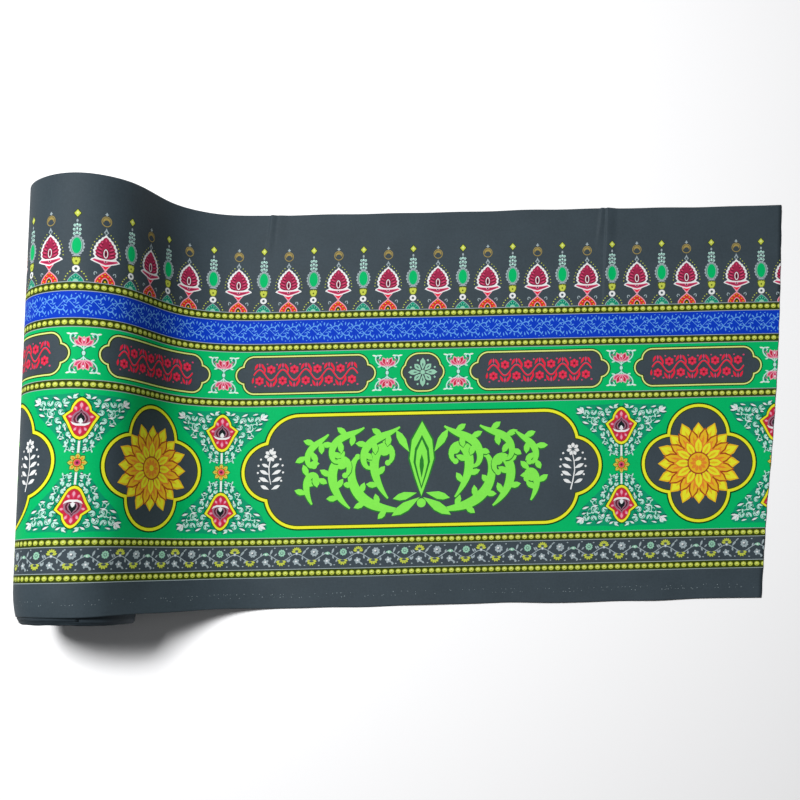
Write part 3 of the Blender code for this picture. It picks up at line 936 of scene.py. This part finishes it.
def red_spire():
    """A crimson flower with scalloped white edges, in a boat of two wings, over a red dome."""
    for side in (1, -1):
        hook = np.array([0, 1.2 + 2.2j * side, 3.6 + 2.6j * side, 4.6, 3.6 - 2.4j * side])
        lay("silver", stroke(side * 12.6 + 14.6j + side * hook, 1.5))
    for ink, wide, tall in (("pink", 16.2, 19.4), ("red", 14.6, 17.2)):
        share = np.array([0, 0.22, 0.45, 0.66, 0.84, 1])
        half = wide * np.array([1, 0.97, 0.80, 0.56, 0.28, 0.03])
        lay(ink, mirrored(half + 1j * tall * share))
    for spot in (0 + 14.4j, 4.6 + 11j, -4.6 + 11j, 8.6 + 6.6j, -8.6 + 6.6j, 11.4 + 1.8j, -11.4 + 1.8j):
        discs(("maroon", spot - 0.5j, 1.9, 1.6, 7), ("gold", spot + 0.2j, 1.3, 1.2, 6))
    lay("pink", mirrored([6.0 + 0j, 5.4 + 4.2j, 3.0 + 7.6j, 0.6 + 9j]))
    lay("olive", mirrored([4.8 + 0j, 4.2 + 3.6j, 2.2 + 6.4j, 0.4 + 7.4j]))
    lay("gold", disc(2.0j, 1.8, 1.5, 7))
    for turn in (48, 132):
        direction = ray(turn)
        lay("pink", stroke(19.6j + direction * np.linspace(-4.2, 4.2, 4), 1.5))
    lay("pink", mirrored([0.9 + 20.6j, 4.6 + 24.4j, 8.4 + 29j, 0.9 + 31.4j]))
    lay("scarlet", mirrored([0.5 + 22.2j, 3.6 + 25.4j, 6.6 + 29.2j, 0.7 + 30j]))
    lay("white", mirrored([
        0.8 + 27j, 6 + 28.4j, 11 + 30.6j, 17 + 32.6j, 23.4 + 35.6j, 21.4 + 38.2j, 18 + 39.6j, 16.4 + 41.6j,
        19.6 + 45.4j, 18.4 + 48j, 20.0 + 52j, 17.6 + 54j, 18.2 + 58j, 15.6 + 59.8j, 15.4 + 63.8j,
        12.4 + 65.2j, 11.2 + 68.8j, 8.2 + 70j, 6.4 + 73.4j, 3.4 + 74.6j, 0.5 + 78j,
    ]))
    lay("rose", mirrored([
        0.8 + 29.2j, 6 + 30.6j, 11 + 32.4j, 16 + 34.2j, 20.4 + 36.2j, 17.6 + 38.2j, 12 + 37j, 6 + 36.4j,
        1 + 36.2j,
    ]))
    lay("crimson", mirrored([
        0.8 + 31.2j, 6 + 32.2j, 11 + 33.6j, 17 + 36.0j, 12 + 35.8j, 6 + 35.0j, 1 + 34.6j,
    ]))
    lay("crimson", mirrored([
        0.8 + 38.4j, 8 + 39.2j, 13 + 41.2j, 16.4 + 45.2j, 15 + 47.6j, 16.8 + 51.4j, 14.2 + 53.4j,
        14.8 + 57.2j, 12.2 + 58.8j, 12 + 62.6j, 9.2 + 64.2j, 8.0 + 67.4j, 5.2 + 68.8j, 3.6 + 71.8j,
        0.4 + 74j,
    ]))
    for side in (1, -1):
        for height, reach in ((43.0, 13.4), (48.5, 14), (54, 12.6), (59.4, 10), (64.6, 6.6)):
            shade_tip, tip = side * reach * 1.04 + 1j * (height + 0.4), side * reach + 1j * (height + 2.4)
            lay("maroon", blade(side * 4.6 + 1j * (height - 3.6), shade_tip, 2.8))
            lay("rose", blade(side * 5.4 + 1j * (height - 1.6), tip, 2.4))
    discs(
        ("rose", 69j, 1.1, 2.6, 6), ("maroon", 47.6j, 5.0, 8.6, 12), ("white", 47.6j, 3.7, 7.4, 14),
        ("crimson", 47.6j, 2.4, 5.8, 12), ("black", 47.2j, 1.3, 3.6, 10), ("pink", 34.8j, 3.0, 2.0, 8),
        ("black", 34.6j, 1.6, 1.3, 7),
    )
    lay("silver", [-4.0 + 81.6j, 85.4j - 1.4, 89j, 85.4j + 1.4, 4.0 + 81.6j, 77.4j])
    discs(
        ("slate", 81.4j, 2.0, 2.4, 6), ("tan", 99.6j, 8.2, 8.6, 20), (None, 99.6j, 6.9, 7.3, 18),
        ("tan", 100.4j, 5.9, 5.6, 16), (None, 97.4j, 4.7, 4.5, 14), ("silver", 111.4j, 1.3, 3.2, 6),
        ("silver", 111.0j, 3.0, 1.3, 6),
    )
    for side in (1, -1):
        for dot in (
            23.6 + 43j, 23.2 + 48.5j, 22 + 54j, 20.2 + 59.6j, 17.6 + 65j, 14.4 + 70j, 11 + 74.4j,
            7.2 + 78.4j,
        ):
            lay("bead", disc(side * dot.real + 1j * dot.imag, 1.0, 1.0, 5))


def green_spire():
    """A slim spire: a teal dome, a white ring, a yellow cup, an emerald oval and three pale tiers."""
    for ink, wide, tall in (("silver", 13.0, 14.2), ("jade", 11.8, 12.9)):
        share = np.array([0, 0.22, 0.5, 0.74, 0.9, 1])
        half = wide * np.array([1, 0.94, 0.70, 0.42, 0.20, 0.03])
        lay(ink, mirrored(half + 1j * tall * share))
    for turn in (-62, -31, 0, 31, 62):
        tip = 9.6 * ray(90 + turn)
        lay("teal", blade(0.55 * tip, tip, 1.8))
        lay("mint", disc(0.86 * np.exp(0.27j) * tip, 0.9, sides=5))
    lay("mint", mirrored([4.4 + 0j, 3.8 + 2.2j, 2.0 + 3.6j, 0.4 + 4.2j]))
    for side in (1, -1):
        for dot in (17 + 3.5j, 15.4 + 8.4j, 12.6 + 12.6j, 8.8 + 16j):
            lay("bead", disc(side * dot.real + 1j * dot.imag, 1.3, 1.1, 5))
    discs(("white", 20.4j, 6.0, 5.6, 10), ("slate", 20.4j, 2.4, 2.4, 8))
    lay("brown", mirrored([3.4 + 26.2j, 6.4 + 30j, 7.2 + 38.6j, 0.8 + 39.6j]))
    lay("bead", mirrored([
        2.6 + 27.2j, 4.8 + 30.6j, 6.2 + 35.4j, 4.4 + 37.2j, 5.4 + 38.6j, 1.6 + 37.6j, 0.6 + 38.8j,
    ]))
    lay("brown", disc(32.4j, 1.6, 1.8, 7))
    lay("silver", stroke(np.linspace(-6, 6, 4) + 41.4j, 1.5))
    for petal in range(16):
        direction = np.exp(2j * math.pi * (petal + 0.5) / 16)
        lay("silver", disc(57.4j + 10.6 * direction.real + 14.2j * direction.imag, 2.2, 2.2, 8))
    for ink, wide, tall in (
        ("silver", 11.0, 14.6), ("slate", 9.6, 13.8), ("mint", 8.6, 13.4), ("jade", 7.4, 12.9),
        ("green", 6.6, 12.2),
    ):
        lay(ink, disc(57.4j, wide, tall, 18))
    for tier, wide in ((76.6, 5.2), (83.4, 5.6), (90.2, 4.8)):
        for place in (-wide + 1, wide - 1):
            discs(("frost", place + 1j * tier, 2.2, 2.1, 8), ("slate", place + 1j * tier, 1.0, 0.9, 6))
        lay("frost", disc(1j * (tier + 1.2), 1.5, 2.2, 8))
        lay("silver", stroke(np.linspace(-wide, wide, 4) + 1j * (tier - 2.9), 1.0))
    discs(
        ("silver", 97.6j, 1.7, 2.6, 7), ("olive", 109.6j, 6.6, 7.4, 4), ("bead", 109.6j, 5.2, 6.0, 4),
        ("cream", 110.2j, 1.9, 2.2, 6),
    )


for u in repeats(RED_SPIRE_U, SPIRE_PITCH, 0.03):
    motif_at = u + SPIRE_FOOT * 1j
    red_spire()
    motif_at = u + SPIRE_PITCH / 2 + SPIRE_FOOT * 1j
    green_spire()
settle(0.5242, 0.6420)

# Each ink is one flat piece in the cloth's face, and takes the cloth's weave through it.
INKS = {
    "white": (224, 232, 232), "frost": (176, 222, 206), "silver": (150, 164, 168), "slate": (66, 80, 86),
    "black": (20, 30, 32), "cream": (208, 220, 126), "bead": (182, 192, 76), "olive": (48, 60, 8),
    "tan": (150, 132, 74), "yellow": (230, 228, 44), "gold": (232, 176, 36), "orange": (226, 132, 44),
    "rust": (160, 70, 30), "brown": (88, 100, 26), "red": (208, 48, 40), "scarlet": (216, 36, 62),
    "ruby": (184, 36, 62), "crimson": (148, 38, 70), "maroon": (92, 28, 46), "rose": (198, 66, 104),
    "pink": (222, 152, 168), "mauve": (146, 104, 122), "mint": (140, 190, 164), "lime": (124, 232, 78),
    "leaf": (40, 116, 44), "green": (0, 172, 96), "haze": (8, 142, 100), "jade": (30, 146, 116),
    "teal": (8, 92, 78), "pine": (6, 66, 20), "sky": (92, 152, 222), "blue": (6, 54, 178),
}
for ink, colour in INKS.items():
    corners = np.array(ink_corners[ink])
    one, two = corners[:, 1] - corners[:, 0], corners[:, 2] - corners[:, 0]
    corners = corners[np.abs(one[:, 0] * two[:, 1] - one[:, 1] * two[:, 0]) > 1e-9]
    spots, index = np.unique(corners.reshape(-1, 2).round(6), axis=0, return_inverse=True)
    outward = cloth_normal(spots[:, 0], spots[:, 1])
    shape = add_piece(
        "print_" + ink, cloth_at(spots[:, 0], spots[:, 1]) + PRINT_LIFT * outward, index.reshape(-1, 3),
        spots,
    )
    shape.data.normals_split_custom_set_from_vertices(outward.tolist())
    bake = shape.data.uv_layers.new(name="OFBake")
    placed = (spots - spots.min(0)) / (spots.max(0) - spots.min(0)) * 0.98 + 0.01
    bake.data.foreach_set("uv", placed[index.ravel()].astype(np.float32).ravel())
    shape.data.materials.append(woven("ink_" + ink, colour, mottle=0.20, weave=0.00006))

# The place where it was photographed: a pale floor, and soft light from above on the left. The backdrop is
# white to the camera, and only a weak fill to the cloth.
floor_mesh = bpy.data.meshes.new("floor")
floor_mesh.from_pydata([(-4, -4, 0), (4, -4, 0), (4, 4, 0), (-4, 4, 0)], [], [(0, 1, 2, 3)])
floor = bpy.data.objects.new("floor", floor_mesh)
bpy.context.scene.collection.objects.link(floor)
floor.location.z = -0.0004
pale = bpy.data.materials.new("floor_pale")
pale.use_nodes = True
pale.node_tree.nodes["Principled BSDF"].inputs["Base Color"].default_value = (*linear(249, 249, 250), 1)
pale.node_tree.nodes["Principled BSDF"].inputs["Roughness"].default_value = 0.75
floor_mesh.materials.append(pale)


def softbox(name, place, aim, size, power):
    """A wide soft light at a place, turned to shine at another."""
    lamp = bpy.data.lights.new(name, "AREA")
    lamp.shape = "RECTANGLE"
    lamp.size, lamp.size_y = size
    lamp.energy = power
    box = bpy.data.objects.new(name, lamp)
    box.location = place
    box.rotation_euler = (Vector(aim) - Vector(place)).to_track_quat("-Z", "Y").to_euler()
    bpy.context.scene.collection.objects.link(box)


softbox("window", (-1.4, 0.9, 3.2), (0, 0, 0), (0.9, 0.9), 156)
softbox("ceiling", (0.8, -0.8, 4.0), (0, 0, 0), (3.0, 3.0), 8)
world = bpy.data.worlds.new("studio")
world.use_nodes = True
backdrop = world.node_tree.nodes["Background"]
backdrop.inputs["Color"].default_value = (0.96, 0.98, 1.0, 1)
seen = world.node_tree.nodes.new("ShaderNodeLightPath")
glow = world.node_tree.nodes.new("ShaderNodeMapRange")
glow.inputs["To Min"].default_value = 0.07
glow.inputs["To Max"].default_value = 1.0
world.node_tree.links.new(seen.outputs["Is Camera Ray"], glow.inputs["Value"])
world.node_tree.links.new(glow.outputs["Result"], backdrop.inputs["Strength"])
bpy.context.scene.world = world
bpy.context.scene.view_settings.view_transform = "Standard"

lens = bpy.data.cameras.new("phone")
lens.lens = 41.64
lens.sensor_width = 36
lens.shift_y = 0.14
lens.clip_start = 0.05
eye = bpy.data.objects.new("phone", lens)
eye.location = (-0.0334, -0.2821, 1.6209)
eye.rotation_euler = (0.0628, 0, -0.0215)
bpy.context.scene.collection.objects.link(eye)
bpy.context.scene.camera = eye
